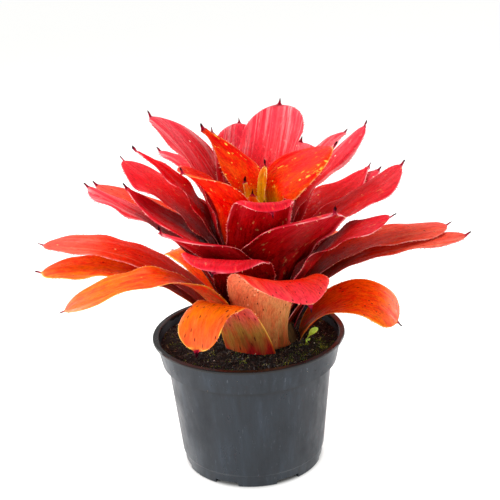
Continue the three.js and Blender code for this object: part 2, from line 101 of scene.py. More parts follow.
# The leaves, from the outermost and oldest to the innermost, as the frame has them.
# az is the direction; r, z and fall are the tip's distance, height and slope; rise is the slope at
# the foot; sway and turn bend and twist; clasp, cup, flare, point, hook and curl shape foot, bowl,
# tip and rim; wave is how far the margins ripple. A leaf without a coat is crimson.
LEAVES = [
    dict(az=250, r=89, z=132, fall=-104, half=21, rise=72, pull=1.16, sway=-16, turn=-2, cup=-2,
         flare=3, clasp=1.5, wave=1.7, coat="clasping"),
    dict(az=0, r=118, z=118, fall=-65, half=23, rise=64, pull=0.48, turn=30, clasp=0.5,
         coat="old"),
    dict(az=100, r=164, z=148, fall=-22, half=24, rise=52, pull=0.44, turn=-3, coat="old"),
    dict(az=270, r=109, z=179, fall=-99, half=37, rise=90, pull=0.51, sway=20, turn=-6, cup=5,
         flare=2, point=0.4, clasp=1.3, curl=2, coat="flushed"),
    dict(az=128, r=137, z=153, fall=-26, half=21, rise=54, sway=-3, turn=-2, cup=0, clasp=1.4,
         coat="old"),
    dict(az=178, r=185, z=176, fall=-10, half=22, turn=-8, clasp=1.1, wave=0.8, coat="old"),
    dict(az=60, r=160, z=155, fall=-25, half=24, coat="old"),
    dict(az=220, r=165, z=154, fall=-41, half=22, rise=65, pull=0.58, sway=-30, cup=4, clasp=0.1,
         wave=0.8, coat="old"),
    dict(az=28, r=125, z=178, fall=0, half=18, rise=56, clasp=1.5),
    dict(az=172, r=186, z=194, fall=-5, half=21, rise=53, turn=-5, cup=-1, clasp=1.3,
         coat="fading"),
    dict(az=85, r=165, z=175, fall=-10, half=24, coat="fading"),
    dict(az=247, r=100, z=214, fall=11, half=40, rise=69, pull=0.45, sway=2, cup=2, hook=65,
         clasp=1.1, curl=2.5, wave=1.5),
    dict(az=0, r=174, z=195, fall=10, half=17, rise=60, clasp=1.4, coat="fading"),
    dict(az=149, r=157, z=232, fall=20, half=22, rise=62, pull=0.46, sway=4, flare=-2, point=0.2,
         clasp=1.1, coat="fading"),
    dict(az=173, r=150, z=238, fall=19, half=22, rise=70, pull=0.43, sway=-10, turn=8, cup=4,
         flare=-7, clasp=1.1, wave=1.2, coat="rose"),
    dict(az=12, r=165, z=196, fall=5, half=27, rise=63, pull=0.41, sway=-3, turn=-2, flare=-4,
         coat="fading"),
    dict(az=236, r=88, z=224, fall=42, half=46, rise=72, pull=0.67, sway=-25, turn=7, flare=9,
         point=0.3, clasp=0.9, curl=2.5, wave=1.2),
    dict(az=34, r=150, z=227, fall=9, half=16, rise=63, pull=0.4, sway=7, turn=7, cup=0,
         point=0.5, clasp=0.9, coat="rose"),
    dict(az=341, r=110, z=218, fall=7, half=24, rise=61, pull=0.41, sway=12, flare=-8, clasp=1.1,
         wave=1.2),
    dict(az=197, r=114, z=239, fall=31, half=35, rise=76, pull=0.59, sway=-34, cup=0, flare=2,
         point=1.0, clasp=0.8),
    dict(az=95, r=140, z=225, fall=20, half=24, coat="rose"),
    dict(az=279, r=79, z=237, fall=43, half=46, rise=78, pull=0.4, sway=39, turn=-8, cup=-1,
         flare=-3, point=0.3, clasp=0.9, curl=3, wave=1.1),
    dict(az=37, r=142, z=231, fall=20, half=26, rise=78, pull=0.53, sway=6, turn=7, cup=0,
         point=0.8, clasp=1.1, wave=1.1),
    dict(az=162, r=126, z=257, fall=21, half=31, rise=75, sway=-9, turn=6, cup=0, flare=-7,
         point=0.1, clasp=1.3, wave=1.3),
    dict(az=7, r=131, z=247, fall=30, half=23, rise=82, pull=0.44, sway=10, turn=2, cup=0,
         flare=-8, point=0.1),
    dict(az=259, r=66, z=258, fall=69, half=28, rise=73, pull=0.32, sway=20, turn=-4, cup=1,
         flare=7, hook=140, curl=3.2, wave=1.1),
    dict(az=127, r=112, z=261, fall=17, half=14, rise=70, pull=0.47, sway=11, turn=11, cup=0,
         point=0.1, hook=6, coat="rose"),
    dict(az=53, r=102, z=258, fall=27, half=26, rise=83, pull=0.35, sway=12, cup=-1, clasp=0.7,
         coat="rose"),
    dict(az=176, r=97, z=276, fall=31, half=15, rise=66, pull=0.43, sway=-4, turn=-4, cup=0,
         point=0.7, wave=1.2),
    dict(az=51, r=123, z=268, fall=21, half=12, rise=79, sway=-3, turn=-4, cup=0, flare=3,
         point=0.2, hook=17, coat="rose"),
    dict(az=152, r=90, z=300, fall=40, half=37, rise=64, pull=0.45, sway=7, turn=7, cup=2,
         point=0.1, clasp=0.6, coat="rose"),
    dict(az=217, r=79, z=275, fall=35, half=44, rise=65, pull=0.57, sway=9, turn=-8, cup=6,
         flare=14, point=0.3, clasp=0.6, curl=2, coat="scarlet"),
    dict(az=31, r=112, z=278, fall=38, half=14, rise=71, pull=0.6, flare=-6, clasp=0.6,
         coat="rose"),
    dict(az=114, r=79, z=282, fall=42, half=26, rise=74, sway=-16, turn=5, cup=1, flare=-3,
         point=0.1, hook=13, coat="rose"),
    dict(az=275, r=29, z=236, fall=70, half=13, rise=77, pull=0.39, sway=7, turn=-4, cup=0,
         coat="core"),
    dict(az=65, r=85, z=295, fall=41, half=37, rise=73, pull=0.67, sway=8, turn=-11, cup=0,
         flare=3, clasp=0.8, coat="rose"),
    dict(az=115, r=71, z=277, fall=43, half=8, rise=76, pull=0.7, sway=4, cup=2, clasp=0.4,
         coat="rose"),
    dict(az=30, r=64, z=276, fall=31, half=31, rise=77, pull=0.75, sway=-31, turn=22, cup=-3,
         flare=-8, point=0.3, clasp=0.3, curl=1.5, coat="heart"),
    dict(az=93, r=55, z=286, fall=41, half=27, rise=82, pull=0.8, sway=46, turn=-12, cup=-2,
         flare=-8, point=1.0, clasp=0.8, coat="heart"),
    dict(az=256, r=14, z=241, fall=85, half=8, rise=82, pull=0.59, sway=3, turn=-8, clasp=1.0,
         coat="core"),
    dict(az=30, r=10, z=260, fall=78, half=9, rise=85, turn=2, cup=2, clasp=1.0, coat="core"),
    dict(az=161, r=9, z=247, fall=79, half=6, rise=90, pull=0.46, turn=-8, cup=1, clasp=1.1,
         coat="core"),
]

# Finishes of the leaves, in 0-255 screen values. upper and under run from foot to tip, each stop
# its place and a colour; the dark stops near the foot, darkest under the leaf, are partly painted
# shade where the leaf bases sit deep in the rosette. blotch, streak_and_sheen, rim, tip and dots
# are a colour and how strongly it shows; streak_and_sheen is partly the blade's own pale lines and
# partly painted sheen, and rim is partly the margin's own paler colour and partly painted
# highlight.
# specks is the share of small dark flecks, edge the thin line along the margin, which is partly its
# own colour and partly painted highlight.
PALE = (255, 170, 172)
CREAM = (255, 222, 140)
COATS = {
    "old": dict(
        upper=((0, 160, 104, 14), (0.25, 240, 84, 5), (0.6, 255, 86, 3), (0.9, 255, 112, 8)),
        under=((0, 128, 92, 30), (0.3, 200, 84, 40), (0.7, 232, 76, 42), (1, 244, 84, 60)),
        blotch=(246, 26, 1, 0.75), streak_and_sheen=(255, 160, 30, 0.3), rim=(255, 176, 40, 0.5),
        tip=(246, 80, 56, 0.6), dots=(255, 196, 90, 0.05), specks=0.16,
        edge=(255, 196, 84), slot="old_leaf"),
    "clasping": dict(
        upper=((0, 230, 96, 6), (0.5, 255, 120, 6), (0.8, 255, 112, 10), (1, 252, 96, 40)),
        under=((0, 170, 30, 34), (0.14, 190, 136, 60), (0.3, 246, 92, 84), (0.8, 255, 140, 120)),
        blotch=(232, 56, 26, 0.4), streak_and_sheen=(240, 160, 100, 0.3), rim=(255, 140, 40, 0.4),
        tip=(246, 84, 50, 0.5), dots=(250, 170, 110, 0.05), specks=0.4,
        edge=(255, 206, 90), slot="old_leaf"),
    "flushed": dict(
        upper=((0, 236, 84, 6), (0.5, 255, 70, 4), (0.75, 255, 30, 6), (1, 250, 52, 66)),
        under=((0, 140, 84, 40), (0.16, 214, 146, 84), (0.45, 250, 136, 92), (0.8, 255, 112, 86)),
        blotch=(236, 60, 36, 0.4), streak_and_sheen=(250, 150, 110, 0.2), rim=(255, 104, 84, 0.4),
        tip=(246, 60, 80, 0.6), dots=(255, 190, 140, 0.06), specks=0.3,
        edge=(255, 196, 150), slot="old_leaf"),
    "fading": dict(
        upper=((0, 120, 66, 12), (0.3, 196, 52, 8), (0.6, 250, 60, 10), (0.9, 254, 84, 44)),
        under=((0, 84, 16, 6), (0.35, 132, 6, 8), (0.6, 214, 48, 44), (1, 250, 116, 112)),
        blotch=(236, 20, 4, 0.55), streak_and_sheen=(255, 170, 140, 0.35), rim=(252, 120, 100, 0.5),
        tip=(246, 92, 86, 0.6), dots=(*CREAM, 0.12), specks=0.06, edge=PALE, slot="leaf"),
    "crimson": dict(
        upper=((0, 64, 0, 1), (0.35, 150, 1, 3), (0.7, 214, 3, 7), (1, 240, 26, 42)),
        under=((0, 22, 0, 1), (0.35, 84, 0, 2), (0.7, 138, 1, 4), (1, 190, 6, 16)),
        blotch=(206, 4, 6, 0.35), streak_and_sheen=(236, 60, 66, 0.16), rim=(246, 60, 84, 0.75),
        tip=(238, 58, 84, 0.15), dots=(*CREAM, 0.14), edge=PALE, slot="leaf"),
    "rose": dict(
        upper=((0, 84, 0, 2), (0.35, 180, 5, 10), (0.65, 246, 32, 42), (1, 255, 60, 76)),
        under=((0, 60, 0, 2), (0.35, 150, 3, 8), (0.7, 238, 38, 50), (1, 255, 80, 94)),
        blotch=(250, 30, 40, 0.4), streak_and_sheen=(255, 200, 200, 0.58), rim=(255, 92, 108, 0.5),
        tip=(250, 50, 74, 0.5), dots=(255, 226, 206, 0.14), edge=PALE, slot="leaf"),
    "scarlet": dict(
        upper=((0.2, 240, 190, 20), (0.4, 248, 60, 4), (0.6, 244, 12, 3), (1, 248, 10, 14)),
        under=((0, 80, 1, 1), (0.4, 184, 2, 1), (0.75, 240, 8, 4), (1, 250, 34, 20)),
        blotch=(255, 70, 4, 0.4), streak_and_sheen=(255, 110, 40, 0.15), rim=(255, 120, 20, 0.6),
        tip=(246, 10, 22, 0.5), dots=(255, 196, 90, 0.5), edge=(255, 226, 160), slot="heart_leaf"),
    "heart": dict(
        upper=((0.34, 244, 224, 24), (0.48, 255, 140, 4), (0.6, 254, 40, 2), (1, 250, 6, 16)),
        under=((0, 90, 2, 1), (0.4, 192, 4, 2), (0.75, 248, 16, 6), (1, 252, 50, 28)),
        blotch=(255, 104, 4, 0.45), streak_and_sheen=(255, 124, 40, 0.2), rim=(255, 100, 12, 0.4),
        tip=(248, 8, 24, 0.6), dots=(255, 220, 80, 0.85), edge=(255, 206, 130), slot="heart_leaf"),
    "core": dict(
        upper=((0.1, 170, 200, 16), (0.5, 240, 230, 30), (0.85, 252, 210, 20), (1, 250, 120, 10)),
        under=((0, 120, 150, 10), (0.5, 230, 226, 30), (0.85, 252, 206, 20), (1, 250, 110, 10)),
        blotch=(252, 176, 10, 0.35), streak_and_sheen=(255, 240, 120, 0.3), rim=(255, 206, 60, 0.3),
        tip=(240, 60, 16, 0.5), dots=(255, 244, 150, 0.5), edge=(255, 232, 120), slot="heart_leaf"),
}

# How fine the patterns of a leaf's skin are, across the blade and along it
PATTERN = dict(cloud=(70, 26), patch=(150, 60), grain=(1300, 900), lines=(190, 8),
               mottle=(700, 220), flecks=(260, 130), dots=(240, 170), specks=(430, 210),
               gaps=(60, 110), veins=(1100, 14))
SPECK = (66, 12, 10)
SPINE_FOOT = (168, 20, 52)
SPINE_END = (40, 8, 18)

# What is strewn on the soil: the lump's seed and stretch, how many to the square metre, smallest
# and largest in metres, the seed of the places, and how far each is tipped over
LITTER = {
    "bark_crumbs_round": dict(lump=1, stretch=(1, 0.8, 0.6), density=160000,
                              sizes=(0.0004, 0.0016), seed=3, tumble=3.0),
    "bark_crumbs_long": dict(lump=5, stretch=(2.2, 0.7, 0.5), density=60000,
                             sizes=(0.0005, 0.0018), seed=7, tumble=0.9),
    "perlite_grains": dict(lump=9, stretch=(1, 0.9, 0.8), density=2600,
                           sizes=(0.0005, 0.001), seed=19, tumble=3.0),
    "root_fibres": dict(lump=13, stretch=(14, 0.35, 0.35), density=22000,
                        sizes=(0.0002, 0.00045), seed=21, tumble=0.8),
    "moss_cushion": dict(lump=17, stretch=(0.3, 0.3, 1.6), density=900000,
                         sizes=(0.0004, 0.0011), seed=23, tumble=0.7, zone="moss",
                         slot="seedling"),
}

CAMERA = dict(distance=0.9, down=19.386, roll=-2.514, target=(0.004243, 0, 0.190736), lens=77.4)

# The floor: half its side and its depth in mm, and the glow's start, end and strength, counted
# from the pot's middle. Under the pot, where the glow is off, is a painted contact shadow.
FLOOR = dict(half=9000, depth=0.3, start=0.056, end=0.0635, glow=0.8)
SKY = 0.42

# The lamps, in metres: place, the height over the origin that it looks at, width and power
LAMPS = {
    "top_back_light": ((-0.35, 0.55, 1.25), 0.2, 0.9, 15),
    "left_front_light": ((-1.0, -0.9, 0.6), 0.15, 0.7, 9),
    "right_front_light": ((0.9, -1.1, 0.45), 0.15, 0.7, 5),
    "left_side_light": ((-0.9, 0.35, 0.22), 0.07, 0.6, 12),
    "right_side_light": ((0.9, 0.5, 0.25), 0.08, 0.6, 9),
}


# Colour and node helpers

def tone(red, green, blue):
    """A colour given as 0-255 screen values, as the linear values that a shader takes."""
    linear = [((v / 255 + 0.055) / 1.055) ** 2.4 if v > 10 else v / 3295
              for v in (red, green, blue)]
    return (*linear, 1.0)


def add_node(tree, kind, inputs, settings):
    """A new node of the tree, with each given input linked to a socket or set to a value."""
    made = tree.nodes.new(kind)
    for key, value in settings.items():
        setattr(made, key, value)
    for key, value in dict(inputs).items():
        if isinstance(value, bpy.types.NodeSocket):
            tree.links.new(value, made.inputs[key])
        else:
            made.inputs[key].default_value = value
    return made


class Recipe:
    """A material and the nodes that make it up."""

    def __init__(self, name, **shader):
        self.material = bpy.data.materials.new(name)
        self.material.use_nodes = True
        self.tree = self.material.node_tree
        self.shader = self.tree.nodes["Principled BSDF"]
        for socket, value in shader.items():
            self.shader.inputs[socket.replace("_", " ")].default_value = value

    def node(self, kind, inputs=(), **settings):
        return add_node(self.tree, kind, inputs, settings)

    def give(self, socket, value):
        self.tree.links.new(value, self.shader.inputs[socket])

    def attribute(self, name, output="Fac"):
        return self.node("ShaderNodeAttribute", attribute_name=name).outputs[output]

    def place(self):
        return self.node("ShaderNodeTexCoord").outputs["Object"]

    def stretch(self, vector, x, y, z):
        made = self.node("ShaderNodeMapping", {"Vector": vector, "Scale": (x, y, z)})
        return made.outputs["Vector"]

    def noise(self, vector, scale=1.0, detail=2.0, roughness=0.5, distortion=0.0):
        inputs = {"Vector": vector, "Scale": scale, "Detail": detail, "Roughness": roughness,
                  "Distortion": distortion}
        return self.node("ShaderNodeTexNoise", inputs).outputs["Fac"]

    def dots(self, vector, radius, share):
        """1 inside round dots of a radius in cells, in a share of the cells of a scattered grid."""
        cells = self.node("ShaderNodeTexVoronoi", {"Vector": vector, "Scale": 1.0})
        inside = self.band(cells.outputs["Distance"], radius, radius * 0.6)
        parts = self.node("ShaderNodeSeparateColor", {"Color": cells.outputs["Color"]})
        return self.times(inside, self.math("LESS_THAN", parts.outputs["Red"], share))

    def math(self, operation, first, second=0.0):
        made = self.node("ShaderNodeMath", {0: first, 1: second}, operation=operation)
        return made.outputs[0]

    def plus(self, first, second):
        return self.math("ADD", first, second)

    def times(self, first, second):
        return self.math("MULTIPLY", first, second)

    def shake(self, value, pattern, much):
        """The value moved up and down by a pattern that runs about 0.5."""
        return self.plus(value, self.times(self.math("SUBTRACT", pattern, 0.5), much))

    def band(self, value, low, high, top=1.0):
        """0 at low and top at high, with a smooth step between."""
        inputs = {"Value": value, "From Min": low, "From Max": high, "To Max": top}
        made = self.node("ShaderNodeMapRange", inputs, interpolation_type="SMOOTHSTEP")
        return made.outputs["Result"]

    def mix(self, factor, first, second, blend="MIX"):
        inputs = {0: factor, 6: first, 7: second}
        made = self.node("ShaderNodeMix", inputs, data_type="RGBA", blend_type=blend)
        return made.outputs[2]

    def ramp(self, value, *stops):
        """Colour by value. Each stop is its place and then a colour in 0-255 screen values."""
        made = self.node("ShaderNodeValToRGB", {"Fac": value})
        marks = made.color_ramp.elements
        while len(marks) < len(stops):
            marks.new(0.5)
        for mark, (position, *colour) in zip(marks, stops):
            mark.position = position
            mark.color = tone(*colour)
        return made.outputs["Color"]

    def bump(self, height, distance, strength):
        inputs = {"Height": height, "Distance": distance, "Strength": strength}
        self.give("Normal", self.node("ShaderNodeBump", inputs).outputs["Normal"])


def grainy_material(name, scale, detail, *stops, **shader):
    """A material whose colour follows one fine grain."""
    r = Recipe(name, **shader)
    r.give("Base Color", r.ramp(r.noise(r.place(), scale=scale, detail=detail), *stops))
    return r.material


# Mesh helpers

def add_object(name, data):
    made = bpy.data.objects.new(name, data)
    bpy.context.scene.collection.objects.link(made)
    return made


def plain_mesh(name, points, faces, material=None):
    """A mesh from points in mm, smooth and dressed where it gets a material."""
    mesh = bpy.data.meshes.new(name)
    mesh.from_pydata((np.asarray(points) * MM).tolist(), [], faces)
    if material:
        mesh.shade_smooth()
        mesh.materials.append(material)
    return mesh


def put_values(mesh, name, values, kind="FLOAT", domain="POINT"):
    """A named attribute of the mesh: a number or a vector for each point or face."""
    layer = mesh.attributes.new(name, kind, domain)
    key = "value" if kind == "FLOAT" else "vector"
    layer.data.foreach_set(key, np.asarray(values, np.float32).ravel())


def applied(holder, name):
    """The object's mesh with its modifiers applied; the object itself is removed."""
    bpy.context.view_layer.update()
    evaluated = holder.evaluated_get(bpy.context.evaluated_depsgraph_get())
    made = bpy.data.meshes.new_from_object(evaluated)
    made.name = name
    bpy.data.objects.remove(holder)
    return made


def add_piece(name, mesh, slot, *replaced):
    """A finished piece of the plant, which rides on the one body."""
    piece = add_object(name, mesh)
    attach(piece, "root")
    if replaced:
        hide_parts(*replaced)


def unit(vectors, guard=0.0):
    """The vectors at length 1. guard keeps a vector without length from a division by 0."""
    return vectors / (np.linalg.norm(vectors, axis=-1, keepdims=True) + guard)


def smoothstep(value, low, high):
    share = np.clip((value - low) / (high - low), 0, 1)
    return share * share * (3 - 2 * share)


# The leaves

def leaf_material(name, coat):
    """A leaf's skin in one of the coats."""
    r = Recipe(f"{name}_leaf_skin", Specular_IOR_Level=0.07,
               Specular_Tint=(1.0, 0.2, 0.16, 1.0))
    blotch, streak_and_sheen, rim, tip, dots = [(tone(*coat[key][:3]), coat[key][3])
                                      for key in ("blotch", "streak_and_sheen", "rim", "tip", "dots")]
    along = r.attribute("along")
    inset = r.attribute("inset")
    place = r.attribute("place", "Vector")
    across = r.math("ABSOLUTE", r.attribute("across"))
    at = {key: r.stretch(place, *scale, 1) for key, scale in PATTERN.items()}
    cloud = r.noise(at["cloud"], detail=4, roughness=0.6)
    shifted = r.shake(along, cloud, 0.4)
    # Colour from foot to tip; the dark run near the foot is partly painted shade deep in the
    # rosette
    upper, under = r.ramp(shifted, *coat["upper"]), r.ramp(shifted, *coat["under"])
    colour = r.mix(r.attribute("under"), upper, under)
    patch = r.noise(at["patch"], detail=5, roughness=0.7)
    grain = r.noise(at["grain"], detail=3, roughness=0.8)
    speckled = r.shake(patch, grain, 0.5)
    colour = r.mix(r.band(speckled, 0.46, 0.6, blotch[1]), colour, blotch[0])
    colour = r.mix(r.band(shifted, 0.72, 1.05, tip[1]), colour, tip[0])
    # Pale lines along the blade, most near margins and tip: partly its own, partly painted sheen
    lines = r.noise(at["lines"], detail=4, roughness=0.6, distortion=0.7)
    sides = r.times(r.band(across, -0.35, 1.0, streak_and_sheen[1]), r.band(shifted, 0.3, 0.75))
    colour = r.mix(r.times(r.band(lines, 0.46, 0.66), sides), colour, streak_and_sheen[0])
    # A paler band along the margins: partly the margin's own colour, partly painted highlight
    wander = r.plus(inset, r.times(cloud, 4.0))
    colour = r.mix(r.band(wander, 4.4, 2.3, rim[1]), colour, rim[0])
    mottle = r.noise(at["mottle"], detail=5, roughness=0.75)
    dulled = r.ramp(mottle, (0.34, 208, 196, 196), (0.58, 255, 255, 255))
    colour = r.mix(1.0, colour, dulled, "MULTIPLY")
    flecks = r.band(r.noise(at["flecks"], detail=4, roughness=0.62), 0.62, 0.69, dots[1])
    round_dots = r.dots(at["dots"], 0.22, dots[1] * 0.16)
    colour = r.mix(r.math("MAXIMUM", flecks, round_dots), colour, dots[0])
    colour = r.mix(r.dots(at["specks"], 0.25, coat.get("specks", 0.0)), colour, tone(*SPECK))
    # A broken pale line on the margin: partly its own colour, partly painted highlight
    gaps = r.band(r.noise(at["gaps"], detail=3), 0.4, 0.62)
    colour = r.mix(r.times(r.band(inset, 1.0, 0.4), gaps), colour, tone(*coat["edge"]))
    colour = r.mix(r.band(along, 0.99, 1.006), colour, tone(*SPINE_FOOT))
    colour = r.mix(r.band(along, 1.006, 1.03), colour, tone(*SPINE_END))
    r.give("Base Color", colour)
    r.give("Roughness", r.band(patch, 0.1, 0.9, 0.72))
    veins = r.noise(at["veins"], detail=2)
    r.bump(r.plus(r.plus(veins, lines), r.times(mottle, 0.5)), 0.0004, 0.45)
    return r.material


def settle(index, leaf):
    """Fills in what a leaf's place in the spiral gives, such as its foot on the stem, and what
    the table leaves out."""
    share = (index + 0.5) / len(LEAVES)
    foot_r, foot_z = (a + (b - a) * share for a, b in zip(STEM_LOW, STEM_HIGH))
    leaf["foot"] = (foot_r + STAND, foot_z)
    leaf["chord"] = math.hypot(leaf["r"] - leaf["foot"][0], leaf["z"] - foot_z)
    leaf["length"] = leaf["chord"] * SLACK
    leaf["seed"] = index + 1
    leaf.setdefault("rise", RISE[0] + RISE[1] * share)
    leaf.setdefault("wave", WAVE[0] + WAVE[1] * share)
    leaf.setdefault("coat", "crimson")


def curve(poles, s):
    """The place and the direction at s along a cubic curve."""
    p0, p1, p2, p3 = poles
    place = (1 - s) ** 3 * p0 + 3 * (1 - s) ** 2 * s * p1 + 3 * (1 - s) * s ** 2 * p2 + s ** 3 * p3
    aim = (1 - s) ** 2 * (p1 - p0) + 2 * (1 - s) * s * (p2 - p1) + s ** 2 * (p3 - p2)
    return place, aim


def midrib(leaf, t):
    """The blade's middle line in its own upright plane: distance from the axis, height, slope."""
    pull = leaf.get("pull", PULL) * leaf["chord"]
    a, b = math.radians(leaf["rise"]), math.radians(leaf["fall"])
    p0 = np.array(leaf["foot"])
    p3 = np.array((leaf["r"], leaf["z"]))
    p1 = p0 + pull * np.array((math.cos(a), math.sin(a)))
    p2 = p3 - pull * np.array((math.cos(b), math.sin(b)))
    poles = (p0, p1, p2, p3)
    point, aim = curve(poles, np.minimum(t, 1)[..., None])
    slope = unit(aim)
    if "hook" in leaf:
        point, slope = hooked(leaf, t, point, slope, poles)
    past = np.maximum(t - 1, 0)[..., None] * leaf["length"]
    return point + past * slope, slope


def hooked(leaf, t, point, slope, poles):
    """The middle line with its last stretch bent down into an arc of so many degrees."""
    b = 1 - HOOK_LENGTH / leaf["length"]
    start, aim = curve(poles, b)
    first = math.atan2(aim[1], aim[0])
    bend = math.radians(leaf["hook"]) / HOOK_LENGTH
    run = np.clip(t - b, 0, 1 - b) * leaf["length"]
    angle = first - bend * run
    swing = np.stack((math.sin(first) - np.sin(angle), np.cos(angle) - math.cos(first)), -1)
    arc_slope = np.stack((np.cos(angle), np.sin(angle)), -1)
    far = (t > b)[..., None]
    return np.where(far, start + swing / bend, point), np.where(far, arc_slope, slope)


def half_width(leaf, t):
    """Half the blade's width: a clasping foot, a strap with nearly even sides, a blunt tip that
    draws out into the spine."""
    sheath = (leaf.get("clasp", CLASP) - 1) * np.clip(1 - t / CLASP_END, 0, 1) ** 2
    point = leaf.get("point", 0)
    start = TIP_START - POINT_START * point
    past = np.clip((t - start) / (1 - start), 0, 1)
    body = leaf["half"] * (STRAP[0] + sheath + STRAP[1] * np.sin(np.pi * np.minimum(t, 1)))
    blade = body * (1 - past ** 2) ** (0.5 + 0.4 * point)
    beyond = np.clip((t - 1) * leaf["length"], 0, SPINE_LENGTH)
    cusp = CUSP * np.exp(-beyond / CUSP_LENGTH) * (beyond < SPINE_LENGTH)
    spine = SPINE_HALF * (1 - beyond / SPINE_LENGTH) + cusp
    return np.maximum(blade, spine * smoothstep(t, 0.9, 0.995))


def blade_points(leaf, t, u):
    """Middle surface of the blade at t along it and u across it, from -1 to 1."""
    on, slope = midrib(leaf, t)
    side = half_width(leaf, t) * u
    turn = math.radians(leaf.get("turn", 0)) * smoothstep(t, 0.2, 0.8)
    arc = WRAP * np.tanh(side * np.cos(turn) / on[..., 0] / WRAP)
    inner = np.minimum(t, 1)
    out = np.radians(leaf["az"] + leaf.get("sway", 0) * inner ** 2) + arc
    cup = leaf.get("cup", CUP) * np.sin(np.pi * inner ** 0.65) + leaf.get("flare", 0) * inner ** 4
    lift = cup * (side / leaf["half"]) ** 2 + side * np.sin(turn)
    lift = lift + ripple(leaf, inner, u) - roll(leaf, t, u)
    lift = lift + SPINE_LIFT * np.clip((t - 1) * leaf["length"] / SPINE_LENGTH, 0, 1) ** 2
    r = on[..., 0] - slope[..., 1] * lift
    height = on[..., 1] + slope[..., 0] * lift
    return np.stack((AXIS[0] + r * np.cos(out), AXIS[1] + r * np.sin(out), height), -1)


def roll(leaf, t, u):
    """How far the rim of the blade turns outward: most at the edge, nothing ROLL_WIDTH in."""
    inner = np.minimum(t, 1)
    from_side = (1 - np.abs(u)) * half_width(leaf, inner)
    from_tip = (1 - inner) * leaf["length"]
    near = np.clip(1 - np.minimum(from_side, from_tip) / ROLL_WIDTH, 0, 1)
    free = smoothstep(t, 0.35, 0.8) * (1 - smoothstep(t, 1.0, 1.02))
    return leaf.get("curl", ROLL) * near ** 2 * free


def ripple(leaf, t, u):
    """The small unevenness of a grown blade: slow swells, pleats along it, and margins that wave
    a little."""
    draw = np.random.RandomState(leaf["seed"])
    phase = draw.uniform(0, 2 * np.pi, 6)
    run = leaf["length"] * t
    swell = np.sin(7 * t + 2.1 * u + phase[0]) + 0.7 * np.sin(13 * t - 3.4 * u + phase[1])
    wave = np.sin(run / 9 + phase[2] + np.sign(u)) + np.sin(run / 5.3 + phase[3])
    pleat = np.sin(9 * u + phase[4] + 2 * t) + 0.6 * np.sin(15 * u + phase[5] - 3 * t)
    free = smoothstep(t, 0.15, 0.5)
    return free * (SWELL * swell + PLEAT * pleat + leaf["wave"] * wave * np.abs(u) ** 3)


def leaf_rows(leaf):
    """The places along the leaf where its surface has a row of points, close together at the tip,
    and the place of the spine's point."""
    tip = TIP_START + (1 - TIP_START) * np.sin(np.linspace(0, np.pi / 2, TIP_ROWS + 1))
    end = 1 + SPINE_LENGTH / leaf["length"]
    return np.concatenate((
        np.linspace(0, TIP_START, ROWS + 1)[:-1],
        tip,
        1 + (end - 1) * np.linspace(0, 1, SPINE_ROWS + 2)[1:-1] ** 1.5,
    )), end


def leaf_mesh(name, leaf, skin):
    """The leaf as one closed shell with a lens section: an upper and a lower skin that meet at
    the margins, closed at the foot and drawn out to a point at the tip."""
    rows, end = leaf_rows(leaf)
    columns = np.sin(np.linspace(-1, 1, COLUMNS) * np.pi / 2)
    t, u = np.meshgrid(rows, columns, indexing="ij")
    mid = blade_points(leaf, t, u)
    normal = unit(np.cross(np.gradient(mid, axis=0), np.gradient(mid, axis=1)), 1e-12)
    lens = np.sqrt(np.clip(1 - u ** 2, 0, 1))
    half = THICK / 2 * lens
    half = np.where(t > 1, np.minimum(half, half_width(leaf, t) * lens), half)
    apex = blade_points(leaf, np.array(end), np.array(0.0))
    top = mid + normal * half[..., None]
    bottom = (mid - normal * half[..., None])[:, 1:-1]
    points = np.concatenate((top.reshape(-1, 3), bottom.reshape(-1, 3), apex[None]))

    n, c = t.shape
    upper = np.arange(n * c).reshape(n, c)
    lower = upper.copy()
    lower[:, 1:-1] = n * c + np.arange(n * (c - 2)).reshape(n, c - 2)
    last = len(points) - 1
    faces = []
    for grid, flip in ((upper, False), (lower, True)):
        quads = np.stack((grid[:-1, :-1], grid[1:, :-1], grid[1:, 1:], grid[:-1, 1:]), -1)
        tips = np.stack((grid[-1, :-1], np.full(c - 1, last), grid[-1, 1:]), -1)
        for face in quads.reshape(-1, 4).tolist() + tips.tolist():
            faces.append(tuple(face[::-1] if flip else face))
    per_side = len(faces) // 2
    for j in range(c - 1):
        ring = (upper[0, j], upper[0, j + 1], lower[0, j + 1], lower[0, j])
        faces.append(tuple(dict.fromkeys(int(k) for k in ring)))

    mesh = plain_mesh(name, points, faces, skin)
    along = np.concatenate((t.ravel(), t[:, 1:-1].ravel(), [end]))
    across = np.concatenate((u.ravel(), u[:, 1:-1].ravel(), [0]))
    width = half_width(leaf, along) * across
    inner = np.minimum(along, 1)
    inset = np.minimum(half_width(leaf, inner) * (1 - np.abs(across)), (1 - inner) * leaf["length"])
    apart = np.full(len(along), leaf["seed"] * 7.3)
    under = np.zeros(len(faces))
    under[per_side:2 * per_side] = 1
    for key, values in (("along", along), ("across", across), ("inset", inset)):
        put_values(mesh, key, values)
    put_values(mesh, "place", np.stack((width * MM, along * leaf["length"] * MM, apart), -1),
               "FLOAT_VECTOR")
    put_values(mesh, "under", under, domain="FACE")
    return mesh


def make_leaves():
    skins = {name: leaf_material(name, coat) for name, coat in COATS.items()}
    for index, leaf in enumerate(LEAVES):
        settle(index, leaf)
        node = f"leaf_{index + 1:02d}"
        mesh = leaf_mesh(f"{node}_blade", leaf, skins[leaf["coat"]])
        add_piece(f"{node}_blade", mesh, COATS[leaf["coat"]]["slot"], node)


# Geometry Nodes helpers

